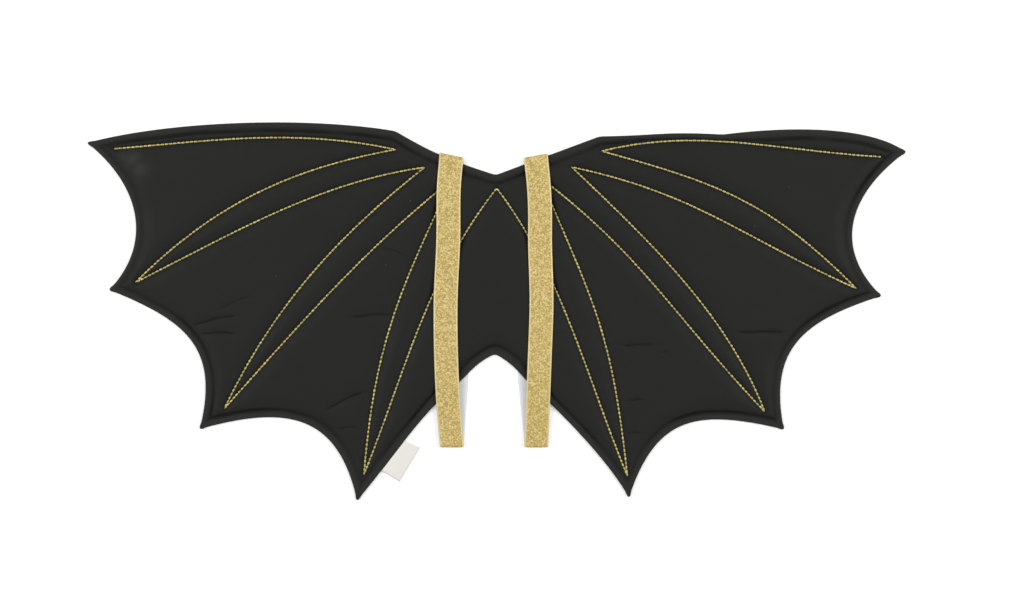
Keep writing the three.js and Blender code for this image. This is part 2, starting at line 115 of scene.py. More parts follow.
# Creases pressed into the cloth. side is -1 on the left wing and 1 on the right, and depth is in
# shares of LOFT.
CREASES = (
    # side, out, up, to_out, to_up, depth
    (-1, 0.742, 0.464, 0.635, 0.49, 0.3),
    (-1, 0.722, 0.442, 0.635, 0.442, 0.3),
    (-1, 0.677, 0.506, 0.6, 0.541, 0.15),
    (-1, 0.417, 0.241, 0.324, 0.289, 0.3),
    (-1, 0.356, 0.485, 0.258, 0.492, 0.25),
    (-1, 0.39, 0.191, 0.334, 0.194, 0.2),
    (-1, 0.297, 0.675, 0.224, 0.648, 0.15),
    (1, 0.583, 0.446, 0.703, 0.446, 0.3),
    (1, 0.304, 0.411, 0.385, 0.413, 0.25),
    (1, 0.4, 0.392, 0.422, 0.396, 0.2),
    (1, 0.321, 0.267, 0.358, 0.268, 0.25),
    (1, 0.317, 0.181, 0.351, 0.18, 0.2),
)

panel_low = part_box("wing_panel")[0]
middle_of_wings = np.array([panel_low.x + HALF_SPAN, panel_low.y])


def place(side, out, up):
    """Point at shares of the half span and the drop, on one side of the middle line."""
    return middle_of_wings + np.array([side * out * HALF_SPAN, up * DROP])


def turned(vector, degrees):
    """The vector turned anticlockwise."""
    turn = math.radians(degrees)
    x, y = vector
    return np.array([x * math.cos(turn) - y * math.sin(turn), x * math.sin(turn) + y * math.cos(turn)])


def row_curve(start, row, side):
    """Close points along the curve of one table row."""
    _, out, up, leave, arrive, pull = row
    end = place(side, out, up)
    chord = (end - start) * pull
    first = start + turned(chord, side * leave)
    second = end - turned(chord, side * arrive)
    t = np.linspace(0, 1, 300)[:, None]
    s = 1 - t
    return start * s**3 + 3 * first * t * s**2 + 3 * second * t**2 * s + end * t**3


def lengths_along(points):
    """Distance along a line of points, at each of them."""
    return np.concatenate([[0], np.cumsum(np.linalg.norm(np.diff(points, axis=0), axis=1))])


def spaced(points, step):
    """The same line with its points about one step apart."""
    along = lengths_along(points)
    count = max(2, round(along[-1] / step))
    at = np.linspace(0, along[-1], count + 1)
    return np.stack([np.interp(at, along, column) for column in points.T], axis=1)


def trace(start, rows, side, step):
    """Points along a run of table rows, every corner among them."""
    line = [place(side, *start)[None]]
    for row in rows:
        line.append(spaced(row_curve(line[-1][-1], row, side), step)[1:])
    return np.concatenate(line)


def across_of(points, closed):
    """Unit vectors to the left of a line of points."""
    if closed:
        along = np.roll(points, -1, axis=0) - np.roll(points, 1, axis=0)
    else:
        along = np.gradient(points, axis=0)
    along /= np.linalg.norm(along, axis=1)[:, None]
    return np.stack([-along[:, 1], along[:, 0]], axis=1)


def tree_of(points):
    """Search tree over points in the plane."""
    tree = kdtree.KDTree(len(points))
    for i, (x, y) in enumerate(points):
        tree.insert((x, y, 0), i)
    tree.balance()
    return tree


def nearest(tree, points):
    """Number and distance of the nearest point of the tree, for each of the points."""
    found = [tree.find((x, y, 0)) for x, y in points]
    return np.array([hit[1] for hit in found]), np.array([hit[2] for hit in found])


def smooth_step(value, low, high):
    """0 below low, 1 above high and a smooth rise between them."""
    share = np.clip((value - low) / (high - low), 0, 1)
    return share * share * (3 - 2 * share)


def bell(distance, width):
    """1 at no distance, and a smooth fall to almost nothing at twice the width."""
    return np.exp(-((distance / width) ** 2))


# Anticlockwise seen from above: down the left wing, then up the right one. The turned corners are
# a little blunt, because the seam allowance fills them.
OUTLINE_STEP = 0.0018
SHARP_TURN = 0.4
TIP_WIDENING = (
    # steps away from the corner, push outwards
    (0, 0.0021),
    (1, 0.0014),
    (2, 0.0006),
)
left_outline = trace(TOP_NOTCH, LEFT_EDGES, -1, OUTLINE_STEP)
right_outline = trace((-TOP_NOTCH[0], TOP_NOTCH[1]), RIGHT_EDGES, 1, OUTLINE_STEP)
outline = np.concatenate([left_outline, right_outline[-2:0:-1]])
onward = np.roll(outline, -1, axis=0) - outline
onward /= np.linalg.norm(onward, axis=1)[:, None]
turning = np.roll(onward, 1, axis=0)
turning = turning[:, 0] * onward[:, 1] - turning[:, 1] * onward[:, 0]
at_tips = turning > SHARP_TURN
push = np.zeros(len(outline))
for steps_away, widening in TIP_WIDENING:
    near = np.roll(at_tips, steps_away) | np.roll(at_tips, -steps_away)
    push = np.where(near, np.maximum(push, widening), push)
outline -= across_of(outline, closed=True) * push[:, None]
for _ in range(3):
    outline = (2 * outline + np.roll(outline, 1, axis=0) + np.roll(outline, -1, axis=0)) / 4
inward = across_of(outline, closed=True)

# The outline and the stitching once more in fine steps, to measure distances from.
FINE_STEP = 0.0003
edge_line = spaced(np.vstack([outline, outline[:1]]), FINE_STEP)[:-1]
edge_inward = across_of(edge_line, closed=True)
edge_tree = tree_of(edge_line)

STITCH_ROW_STEP = 0.0018
stitch_lines = [
    trace(LEFT_STITCH_START, LEFT_STITCHING, -1, STITCH_ROW_STEP),
    trace(RIGHT_STITCH_START, RIGHT_STITCHING, 1, STITCH_ROW_STEP),
]
stitch_line = np.vstack([spaced(line, FINE_STEP) for line in stitch_lines])
stitch_tree = tree_of(stitch_line)


def measure(points):
    """Where each point lies: distance inside the edge, place along it, distance to the stitching
    and place along that."""
    edge_number, from_edge = nearest(edge_tree, points)
    inside = np.einsum("ij,ij->i", points - edge_line[edge_number], edge_inward[edge_number])
    from_edge = np.where(inside < 0, -from_edge, from_edge)
    stitch_number, from_stitch = nearest(stitch_tree, points)
    return from_edge, edge_number * FINE_STEP, from_stitch, stitch_number * FINE_STEP


def edge_half(from_edge, radius=EDGE_THICKNESS / 2):
    """Half thickness of the panel near its edge, which is as round as the folded seam in it."""
    share = 1 - np.clip(from_edge / radius, 0, 1)
    return radius * np.sqrt(1 - share * share)


def noise_at(points, scale_x, scale_y, seed):
    """Smooth noise from about -1 to 1, at points in the plane."""
    return np.array([noise.noise((x / scale_x, y / scale_y, seed)) for x, y in points])


def noise_along(places, scale, seed):
    """Smooth noise from about -1 to 1, at places along a line."""
    return np.array([noise.noise((p / scale, seed, 0)) for p in places])


def crease_bow(share, side):
    """How far a crease hangs below the straight line between its ends."""
    return 0.0004 * np.sin(share * np.pi) * side + 0.0005 * np.sin(share * 8)


def crease_lines(step):
    """Points along each crease."""
    for side, out, up, to_out, to_up, _ in CREASES:
        start, end = place(side, out, up), place(side, to_out, to_up)
        share = np.linspace(0, 1, round(np.linalg.norm(end - start) / step) + 1)
        line = start + share[:, None] * (end - start)
        line[:, 1] -= crease_bow(share, side)
        yield line


def crease_distances(points):
    """Distance of the points from each crease, with its depth there, which fades at both ends."""
    for side, out, up, to_out, to_up, depth in CREASES:
        start, end = place(side, out, up), place(side, to_out, to_up)
        run = end - start
        length = np.linalg.norm(run)
        share = ((points - start) @ run) / length**2
        bowed = points - start - share[:, None] * run
        bowed[:, 1] += crease_bow(share, side)
        past = np.abs(share - np.clip(share, 0, 1)) * length
        fade = smooth_step(np.minimum(share, 1 - share) * length, -0.003, 0.006)
        yield np.hypot(np.linalg.norm(bowed, axis=1), past), depth * fade


# How the pressed band lies on each edge, in the order of the tables of edges: its width, and how
# plainly the groove inside it shows near the edge's start, at its middle and near its end.
LEFT_BANDS = (
    (0.0088, 0.6, 0.6, 0.8),
    (0.0078, 0.9, 1.0, 0.9),
    (0.0066, 0.3, 0.15, 0.3),
    (0.0072, 0.4, 0.8, 0.9),
    (0.0076, 1.4, 0.7, 0.15),
    (0.0078, 0.1, 0.8, 1.3),
    (0.0085, 0.5, 0.8, 0.9),
)
RIGHT_BANDS = (
    (0.0087, 1.0, 0.9, 0.3),
    (0.0058, 1.3, 1.3, 1.2),
    (0.0088, 0.9, 0.9, 0.7),
    (0.0068, 1.4, 0.5, 0.15),
    (0.0068, 1.4, 0.7, 0.1),
    (0.0075, 1.3, 1.0, 0.2),
    (0.0066, 0.15, 0.8, 0.8),
    (0.0088, 0.5, 0.4, 0.6),
)

band_places, band_facts = [], []
for side, first_out, rows, bands in (
    (-1, TOP_NOTCH[0], LEFT_EDGES, LEFT_BANDS),
    (1, -TOP_NOTCH[0], RIGHT_EDGES, RIGHT_BANDS),
):
    corner = place(side, first_out, TOP_NOTCH[1])
    for row, (width, *strengths) in zip(rows, bands):
        curve = row_curve(corner, row, side)
        for share, strength in zip((0.25, 0.5, 0.8), strengths):
            band_places.append(curve[round(share * len(curve))])
            band_facts.append((width, strength))
        corner = curve[-1]
band_stations = nearest(edge_tree, band_places)[0] * FINE_STEP
in_order = np.argsort(band_stations)
edge_station = np.arange(len(edge_line)) * FINE_STEP
edge_length = len(edge_line) * FINE_STEP
band_width, groove_strength = [
    np.interp(edge_station, band_stations[in_order], values[in_order], period=edge_length)
    for values in np.array(band_facts).T
]
band_width += 0.0009 * noise_along(edge_station, 0.032, 6.4)
groove_strength *= 1 + 0.7 * noise_along(edge_station, 0.03, 2.2)
groove_strength = np.clip(groove_strength, 0.05, 1.6)


def along_edge(values, edge_place):
    """Values that change along the edge, at places along it."""
    return values[np.round(edge_place / FINE_STEP).astype(int)]


def panel_top(points, facts):
    """Height of the upper face."""
    from_edge, edge_place, from_stitch, stitch_place = facts
    width = along_edge(band_width, edge_place)
    strength = along_edge(groove_strength, edge_place)
    band = EDGE_THICKNESS + (GROOVE_THICKNESS - EDGE_THICKNESS) * np.clip(from_edge / width, 0, 1) ** 2
    gather = noise_along(edge_place, 0.008, 3.1)
    band += GATHER_HEIGHT * gather * np.sin(np.pi * np.clip(from_edge / width, 0, 1))
    from_groove = np.minimum(from_stitch, from_edge - width)
    swell = 1 - (1 - np.clip(from_groove / RISE, 0, 1)) ** 2
    pad = GROOVE_THICKNESS + (LOFT - GROOVE_THICKNESS) * swell
    for away, depth in crease_distances(points):
        pad -= 0.5 * depth * LOFT * swell * bell(away, CREASE_WIDTH)
        pad -= 0.35 * depth * LOFT * swell * bell(away, CREASE_CORE)
    pad += swell * 0.0004 * noise_at(points, 0.045, 0.03, 1.7)
    pad += swell * 0.00018 * noise_at(points, 0.03, 0.009, 5.2)
    pucker = np.array(
        [noise.noise((p / 0.0055, 8.3, s / 0.02)) for p, s in zip(stitch_place, from_stitch)]
    )
    pad += PUCKER_HEIGHT * pucker * (from_stitch / PUCKER_REACH) * np.exp(1 - from_stitch / PUCKER_REACH)
    height = np.where(from_edge < width, band, pad)
    height -= GROOVE_DEPTH * strength * bell(from_edge - width - GROOVE_INSET, GROOVE_WIDTH)
    height -= STITCH_DEPTH * bell(from_stitch, 0.0011)
    return height - EDGE_THICKNESS / 2 + edge_half(from_edge)


def panel_bottom(points, facts):
    """Height of the lower face, which lies flat on the floor between the lines of stitching."""
    from_edge, edge_place, from_stitch, stitch_place = facts
    dent = 0.0007 * bell(from_stitch, 0.0016)
    dent += 0.0005 * bell(from_edge - EDGE_BAND, 0.0018)
    return EDGE_THICKNESS / 2 - edge_half(from_edge) + dent


def is_inside(point):
    """Whether a point lies inside the outline."""
    a, b = outline, np.roll(outline, -1, axis=0)
    crossed = (a[:, 1] > point[1]) != (b[:, 1] > point[1])
    a, b = a[crossed], b[crossed]
    across = (b[:, 0] - a[:, 0]) * (point[1] - a[:, 1]) / (b[:, 1] - a[:, 1])
    return np.sum(a[:, 0] + across > point[0]) % 2 == 1


ROW_GAP = 0.0008
CREASE_STEP = 0.0014
STILL_IN_ROW = 0.93


def panel_face(edge_rows, stitch_rows, stitch_step, crease_rows, fill_step):
    """Points and triangles of one face of the panel. The outline's own points come first, then rows
    beside the edge, the stitching and the creases, and then an even fill."""
    rows = [outline]
    for distance in edge_rows:
        row = outline + inward * distance
        from_edge, _, from_stitch, _ = measure(row)
        clear = (from_edge > STILL_IN_ROW * distance) & (from_stitch > stitch_rows[-1] + ROW_GAP)
        rows.append(row[clear])
    for line in stitch_lines:
        line = line[:: round(stitch_step / STITCH_ROW_STEP)]
        left = across_of(line, closed=False)
        for distance in [0, *stitch_rows]:
            for row in [line] if distance == 0 else [line + left * distance, line - left * distance]:
                from_edge, _, from_stitch, _ = measure(row)
                clear = (from_edge > EDGE_THICKNESS) & (from_stitch >= STILL_IN_ROW * distance)
                rows.append(row[clear])
    creases = list(crease_lines(CREASE_STEP)) if crease_rows else []
    for line in creases:
        left = across_of(line, closed=False)
        for distance in crease_rows:
            row = line + left * distance
            from_edge, _, from_stitch, _ = measure(row)
            clear = (from_edge > edge_rows[-1] + ROW_GAP) & (from_stitch > stitch_rows[-1] + ROW_GAP)
            rows.append(row[clear])
    crease_tree = tree_of(np.concatenate(creases)) if creases else None
    low, high = outline.min(axis=0), outline.max(axis=0)
    row_height = fill_step * math.sqrt(3) / 2
    for number in range(int((high[1] - low[1]) / row_height)):
        x = np.arange(low[0] + (number % 2) * fill_step / 2, high[0], fill_step)
        row = np.stack([x, np.full_like(x, low[1] + number * row_height)], axis=1)
        from_edge, _, from_stitch, _ = measure(row)
        room = 0.6 * fill_step
        clear = (from_edge > edge_rows[-1] + room) & (from_stitch > stitch_rows[-1] + room)
        if creases:
            clear &= nearest(crease_tree, row)[1] > crease_rows[-1] + room
        rows.append(row[clear])
    points = np.concatenate(rows)
    ring = list(range(len(outline)))
    found = geometry.delaunay_2d_cdt([tuple(p) for p in points], [], [ring], 1, 1e-6, True)
    order = np.argsort([group[0] for group in found[3]])
    new_place = np.empty_like(order)
    new_place[order] = np.arange(len(order))
    corners = np.array([tuple(found[0][i]) for i in order])
    triangles = [[int(new_place[i]) for i in triangle] for triangle in found[2]]
    middles = {i: corners[t].mean(axis=0) for i, t in enumerate(triangles) if max(t) < len(outline)}
    return corners, [t for i, t in enumerate(triangles) if i not in middles or is_inside(middles[i])]


ROUNDED_ROWS = [0.00035, 0.0009, 0.0015]
top_points, top_triangles = panel_face(
    edge_rows=ROUNDED_ROWS + [0.003, 0.0048, 0.0064, 0.0075, 0.0085, 0.0095, 0.0105, 0.0116, 0.013],
    stitch_rows=[0.0008, 0.0017, 0.003],
    stitch_step=STITCH_ROW_STEP,
    crease_rows=[-0.0018, -0.0008, 0, 0.0008, 0.0018],
    fill_step=0.0026,
)
bottom_points, bottom_triangles = panel_face(
    edge_rows=ROUNDED_ROWS + [0.0045, EDGE_BAND],
    stitch_rows=[0.0016, 0.0034],
    stitch_step=2 * STITCH_ROW_STEP,
    crease_rows=[],
    fill_step=0.005,
)
top_facts = measure(top_points)
top_facts[0][: len(outline)] = 0
top_height = panel_top(top_points, top_facts)
bottom_facts = measure(bottom_points)
bottom_facts[0][: len(outline)] = 0
bottom_height = panel_bottom(bottom_points, bottom_facts)


def mesh_object(name, corners, faces, material):
    """Object made of corners and faces, with one material."""
    mesh = bpy.data.meshes.new(name)
    mesh.from_pydata([tuple(map(float, corner)) for corner in corners], [], faces)
    mesh.materials.append(material)
    mesh.shade_smooth()
    mesh.update()
    thing = bpy.data.objects.new(name, mesh)
    bpy.context.scene.collection.objects.link(thing)
    return thing


def paint(thing, layers):
    """Named values at each corner of the mesh, for its material to read."""
    for name, values in layers.items():
        layer = thing.data.attributes.new(name, "FLOAT", "POINT")
        layer.data.foreach_set("value", np.array(values, np.float32))


def linear(code):
    """Linear colour of an sRGB hex code."""
    parts = [int(code[i : i + 2], 16) / 255 for i in (1, 3, 5)]
    return (*[p / 12.92 if p <= 0.04045 else ((p + 0.055) / 1.055) ** 2.4 for p in parts], 1)


def add_node(tree, kind, links=None, **settings):
    """New node with its settings. links names or numbers its inputs, each with a value or the
    socket that feeds it."""
    node = tree.nodes.new(kind)
    for name, value in settings.items():
        setattr(node, name, value)
    for name, value in (links or {}).items():
        if isinstance(value, bpy.types.NodeSocket):
            tree.links.new(value, node.inputs[name])
        else:
            node.inputs[name].default_value = value
    return node


def new_material(name, **values):
    """Material with a principled shader, and the tree and shader themselves."""
    material = bpy.data.materials.new(name)
    material.use_nodes = True
    tree = material.node_tree
    shader = tree.nodes["Principled BSDF"]
    for key, value in values.items():
        shader.inputs[key.replace("_", " ")].default_value = value
    return material, tree, shader


def grain_scale(millimetres):
    """Scale of a noise whose grains are about that wide."""
    return float(round(1000 / millimetres))


def ridge_scale(millimetres):
    """Scale of a wave pattern whose ridges are that far apart."""
    return float(round(100 * math.pi / millimetres))


# Black cotton sateen, woven and then pressed: nearly even black with a faint satin gleam. Painted
# light and shade lie on it too: a painted highlight that makes the pressed band a little lighter,
# painted shade in the groove, along the stitching and in the creases, and painted sheen in two small
# spots near the left wing's tip. Its weave is drawn at 1.4 mm, coarser than the real 0.3 mm, so that
# it can be seen at all.
sateen, tree, shader = new_material("black cotton sateen, pressed", IOR=1.47)
shader.inputs["Specular IOR Level"].default_value = 0.1
shader.inputs["Sheen Weight"].default_value = 0.04
shader.inputs["Sheen Roughness"].default_value = 0.4
where = add_node(tree, "ShaderNodeTexCoord").outputs["Object"]
patches = add_node(
    tree, "ShaderNodeTexNoise", {"Vector": where, "Scale": grain_scale(71.4), "Detail": 3.0}
)
cloth_colour = add_node(
    tree,
    "ShaderNodeMix",
    {0: patches.outputs["Fac"], 6: linear("#1E1E1D"), 7: linear("#222221")},
    data_type="RGBA",
)
# Painted highlight: the pressed band is drawn paler, as if it caught more light.
band_sheen_share = add_node(tree, "ShaderNodeAttribute", attribute_name="painted_band_sheen").outputs["Fac"]
band_sheen_colour = add_node(
    tree,
    "ShaderNodeMix",
    {0: band_sheen_share, 6: cloth_colour.outputs[2], 7: linear("#282827")},
    data_type="RGBA",
)
# Painted shade: darker in the groove, beside the stitching and in the creases.
painted_shade_share = add_node(tree, "ShaderNodeAttribute", attribute_name="painted_shade").outputs["Fac"]
painted_shade_colour = add_node(
    tree,
    "ShaderNodeMix",
    {0: painted_shade_share, 6: band_sheen_colour.outputs[2], 7: linear("#111010")},
    data_type="RGBA",
)
# Painted sheen: two small pale spots near the left wing's tip.
tip_sheen_share = add_node(tree, "ShaderNodeAttribute", attribute_name="painted_tip_sheen").outputs["Fac"]
tip_sheen_colour = add_node(
    tree,
    "ShaderNodeMix",
    {0: tip_sheen_share, 6: painted_shade_colour.outputs[2], 7: linear("#2E2E2D")},
    data_type="RGBA",
)
lint = add_node(
    tree, "ShaderNodeTexVoronoi", {"Vector": where, "Scale": grain_scale(23.8), "Randomness": 1.0}
)
lint_share = add_node(
    tree, "ShaderNodeMapRange", {0: lint.outputs["Distance"], 1: 0.022, 2: 0.016, 3: 0.0, 4: 0.25}
)
lint_colour = add_node(
    tree,
    "ShaderNodeMix",
    {0: lint_share.outputs[0], 6: tip_sheen_colour.outputs[2], 7: linear("#8A8680")},
    data_type="RGBA",
)
tree.links.new(lint_colour.outputs[2], shader.inputs["Base Color"])
gleam = add_node(
    tree, "ShaderNodeMapRange", {0: patches.outputs["Fac"], 1: 0.3, 2: 0.7, 3: 0.52, 4: 0.66}
)
tree.links.new(gleam.outputs[0], shader.inputs["Roughness"])
slanted = add_node(tree, "ShaderNodeMapping", {"Vector": where, "Rotation": (0, 0, math.radians(63))})
weave = add_node(
    tree,
    "ShaderNodeTexWave",
    {"Vector": slanted.outputs[0], "Scale": ridge_scale(1.4), "Distortion": 1.2, "Detail": 1.0},
)
weave_bump = add_node(
    tree, "ShaderNodeBump", {"Height": weave.outputs["Fac"], "Strength": 0.25, "Distance": 0.00008}
)
fluff = add_node(tree, "ShaderNodeTexNoise", {"Vector": where, "Scale": grain_scale(2.38), "Detail": 3.0})
fluff_bump = add_node(
    tree,
    "ShaderNodeBump",
    {
        "Height": fluff.outputs["Fac"],
        "Normal": weave_bump.outputs[0],
        "Strength": 0.35,
        "Distance": 0.00025,
    },
)
tree.links.new(fluff_bump.outputs[0], shader.inputs["Normal"])

ring = len(outline)
bottom_place = [i if i < ring else i - ring + len(top_points) for i in range(len(bottom_points))]
panel_corners = [(x, y, z) for (x, y), z in zip(top_points, top_height)]
panel_corners += [(x, y, z) for (x, y), z in zip(bottom_points[ring:], bottom_height[ring:])]
panel_faces = top_triangles + [[bottom_place[i] for i in reversed(t)] for t in bottom_triangles]
wings = mesh_object("wings", panel_corners, panel_faces, sateen)

# Painted light and shade on the cloth: a painted highlight that makes the pressed band pale, painted
# shade in the groove, along the stitching and in the creases, and painted sheen in two small spots
# near the left wing's tip.
STITCH_SHADE = 0.0022
CREASE_SHADE = 0.0009
# Spots of painted sheen near the left wing's tip.
TIP_SHEEN_SPOTS = (
    # out, up, radius
    (0.892, 0.903, 0.009),
    (0.867, 0.872, 0.008),
)
from_edge, edge_place, from_stitch = [
    np.concatenate([top_facts[i], bottom_facts[i][ring:]]) for i in range(3)
]
width = along_edge(band_width, edge_place)
# Painted highlight on the pressed band.
painted_band_sheen = (1 - smooth_step(from_edge, 0.35 * width, width)) * 0.9
# Painted shade in the groove, then beside the stitching and in the creases.
painted_shade = along_edge(groove_strength, edge_place) * bell(from_edge - width - GROOVE_INSET, GROOVE_WIDTH)
painted_shade = np.maximum(np.minimum(painted_shade, 1), 0.9 * bell(from_stitch, STITCH_SHADE))
panel_places = np.array([corner[:2] for corner in panel_corners])
on_top = np.arange(len(panel_corners)) < len(top_points)
for away, depth in crease_distances(panel_places):
    painted_shade = np.maximum(painted_shade, on_top * np.minimum(1, depth / 0.3) * bell(away, CREASE_SHADE))
# Painted sheen near the left wing's tip.
painted_tip_sheen = np.zeros(len(panel_places))
for out, up, radius in TIP_SHEEN_SPOTS:
    away = np.linalg.norm(panel_places - place(-1, out, up), axis=1)
    painted_tip_sheen = np.maximum(painted_tip_sheen, bell(away, radius))
painted_tip_sheen *= on_top * np.clip(0.85 + 0.6 * noise_at(panel_places, 0.006, 0.006, 9.4), 0, 1)
paint(wings, {"painted_band_sheen": painted_band_sheen, "painted_shade": painted_shade, "painted_tip_sheen": painted_tip_sheen})
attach(wings, "root")
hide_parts("wing_panel")

# Topstitching. Gold metallic embroidery thread on both sides of the panel, in one zigzag line on
# each wing: straight lockstitches, which dip into the cloth where the needle went in.
STITCH_PITCH = 0.0042
STITCH_LENGTH = 0.0041
THREAD_WIDTH = 0.0021
THREAD_HEIGHT = 0.001
STITCH_ARCH = 0.55
STITCH_SINK = 0.12
ROUND = 8
SECTIONS = 7

# A polyester core wound with gold foil: soft old gold with darker and lighter flecks, and a broad
# gleam in place of a sharp glint. The flecks are drawn 3 mm long, so that they show.
gold_thread, tree, shader = new_material(
    "gold metallic thread, spun", Metallic=0.4, Roughness=0.45, IOR=1.5
)
where = add_node(tree, "ShaderNodeTexCoord").outputs["Object"]
thread_noise = add_node(
    tree, "ShaderNodeTexNoise", {"Vector": where, "Scale": grain_scale(3.03), "Detail": 2.0}
)
thread_colours = add_node(tree, "ShaderNodeValToRGB", {0: thread_noise.outputs["Fac"]})
thread_colours.color_ramp.elements[0].position = 0.32
thread_colours.color_ramp.elements[0].color = linear("#8B8149")
thread_colours.color_ramp.elements[1].position = 0.68
thread_colours.color_ramp.elements[1].color = linear("#C7BC74")
tree.links.new(thread_colours.outputs[0], shader.inputs["Base Color"])

random_numbers = np.random.default_rng(41)


def stitches_along(line, face, lift):
    """Corners and faces of the row of stitches on one face of the panel."""
    corners, faces = [], []
    along = lengths_along(line)
    left = across_of(line, closed=False)
    count = round(along[-1] / STITCH_PITCH)
    starts = (np.arange(count) + 0.5) * along[-1] / count
    share = np.linspace(-1, 1, SECTIONS)
    for middle in starts:
        length = STITCH_LENGTH * random_numbers.uniform(0.93, 1.05)
        drift = random_numbers.uniform(-0.00012, 0.00012)
        thick = random_numbers.uniform(0.9, 1.08)
        at = np.clip(middle + share * length / 2, 0, along[-1])
        path = np.stack([np.interp(at, along, line[:, i]) for i in (0, 1)], axis=1)
        side = np.stack([np.interp(at, along, left[:, i]) for i in (0, 1)], axis=1)
        path = path + side * drift * (1 - share[:, None] ** 2)
        arch = lift * (THREAD_HEIGHT * STITCH_ARCH) * (1 - share**2)
        level = face(path) + arch - lift * THREAD_HEIGHT * STITCH_SINK
        girth = thick * np.sqrt(1 - np.abs(share) ** 3 * 0.55)
        first = len(corners)
        for i in range(SECTIONS):
            for turn in range(ROUND):
                angle = 2 * math.pi * turn / ROUND
                out = math.cos(angle) * girth[i] * THREAD_WIDTH / 2
                up = math.sin(angle) * girth[i] * THREAD_HEIGHT / 2
                x, y = path[i] + side[i] * out
                corners.append((x, y, level[i] + up))
        for i in range(SECTIONS - 1):
            for turn in range(ROUND):
                a = first + i * ROUND + turn
                b = first + i * ROUND + (turn + 1) % ROUND
                faces.append((a, b, b + ROUND, a + ROUND))
        faces.append(tuple(first + turn for turn in reversed(range(ROUND))))
        faces.append(tuple(first + (SECTIONS - 1) * ROUND + turn for turn in range(ROUND)))
    return corners, faces


def upper_level(points):
    """Height of the cloth under the upper stitches."""
    return panel_top(points, measure(points))


def lower_level(points):
    """Height of the cloth over the lower stitches, with room for the thread above the floor."""
    return np.maximum(panel_bottom(points, measure(points)), THREAD_HEIGHT)


for name, line in zip(("left", "right"), stitch_lines):
    upper = stitches_along(line, upper_level, 1)
    lower = stitches_along(line, lower_level, -1)
    corners = upper[0] + lower[0]
    faces = upper[1] + [tuple(i + len(upper[0]) for i in face) for face in lower[1]]
    stitching = mesh_object(f"topstitching_{name}", corners, faces, gold_thread)
    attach(stitching, "root")

# Arm straps. Flat woven elastic with gold glitter yarn and a plain cream selvedge on both sides.
# Each is sewn into the top seam, folds over it, runs down over the panel, folds under at its lower
# end and goes back to the lower seam.
STRAP_WIDTH = 0.0245
STRAP_THICKNESS = 0.0012
SELVEDGE_WIDTH = 0.0016
SELVEDGE_THICKNESS = 0.0009
SELVEDGE_ROUND = 0.0003
YARN_HEIGHT = 0.00012
STRAP_TOP_LOOP = 0.004
STRAP_TAIL = 0.1425
TAIL_FOLD_RADIUS = 0.0015
TAIL_DRIFT = 0.009
SEAM_GAP = 0.0003
STRAPS = (
    # name, side, out, ((along, aside in strap widths), ...)
    (
        "left",
        -1,
        0.1105,
        ((0, 0), (0.09, 0.09), (0.29, 0.125), (0.5, 0.23), (0.68, 0.215), (0.85, 0.13), (1, -0.01)),
    ),
    (
        "right",
        1,
        0.0955,
        ((0, 0), (0.08, 0.1), (0.16, 0.16), (0.3, 0.17), (0.5, 0.23), (0.7, 0.155), (1, 0.02)),
    ),
)

# Rubber yarns woven in with flat gold foil yarn: a coarse sparkle of pale and dark gold specks, a
# smooth cream line at both edges, and a plain pale back with no foil. The specks are drawn 1.1 mm
# wide, coarser than the real yarn, so that they show.
glitter, tree, shader = new_material("gold glitter elastic, woven", IOR=1.5)
where = add_node(tree, "ShaderNodeTexCoord").outputs["Object"]
flat = add_node(tree, "ShaderNodeMapping", {"Vector": where, "Scale": (1, 1, 0.3)}).outputs[0]
grain = add_node(
    tree,
    "ShaderNodeTexNoise",
    {"Vector": flat, "Scale": grain_scale(3.33), "Detail": 3.0, "Roughness": 0.6},
)
speck = add_node(
    tree, "ShaderNodeTexVoronoi", {"Vector": flat, "Scale": grain_scale(1.136), "Randomness": 1.0}
)
speck_grey = add_node(tree, "ShaderNodeSeparateColor", {0: speck.outputs["Color"]})
mottle = add_node(
    tree, "ShaderNodeMix", {0: 0.6, 2: grain.outputs["Fac"], 3: speck_grey.outputs[0]}, data_type="FLOAT"
)
glitter_colours = add_node(tree, "ShaderNodeValToRGB", {0: mottle.outputs[0]})
ramp = glitter_colours.color_ramp
ramp.elements[0].position = 0.28
ramp.elements[0].color = linear("#A58F52")
ramp.elements[1].position = 0.75
ramp.elements[1].color = linear("#D8C588")
middle_tone = ramp.elements.new(0.52)
middle_tone.color = linear("#C0A862")
border = add_node(tree, "ShaderNodeAttribute", attribute_name="selvedge").outputs["Fac"]
strap_colour = add_node(
    tree,
    "ShaderNodeMix",
    {0: border, 6: glitter_colours.outputs[0], 7: linear("#D2C08E")},
    data_type="RGBA",
)
backing = add_node(tree, "ShaderNodeAttribute", attribute_name="backing").outputs["Fac"]
both_colours = add_node(
    tree,
    "ShaderNodeMix",
    {0: backing, 6: strap_colour.outputs[2], 7: linear("#D6D7D9")},
    data_type="RGBA",
)
tree.links.new(both_colours.outputs[2], shader.inputs["Base Color"])
metal = add_node(tree, "ShaderNodeMapRange", {0: backing, 3: 0.35, 4: 0.0})
tree.links.new(metal.outputs[0], shader.inputs["Metallic"])
glint = add_node(
    tree, "ShaderNodeMapRange", {0: speck_grey.outputs[1], 1: 0.55, 2: 0.95, 3: 0.6, 4: 0.28}
)
tree.links.new(glint.outputs[0], shader.inputs["Roughness"])
strap_bump = add_node(
    tree, "ShaderNodeBump", {"Height": mottle.outputs[0], "Strength": 0.5, "Distance": 0.0003}
)
tree.links.new(strap_bump.outputs[0], shader.inputs["Normal"])

closed_outline = np.vstack([outline, outline[:1]])


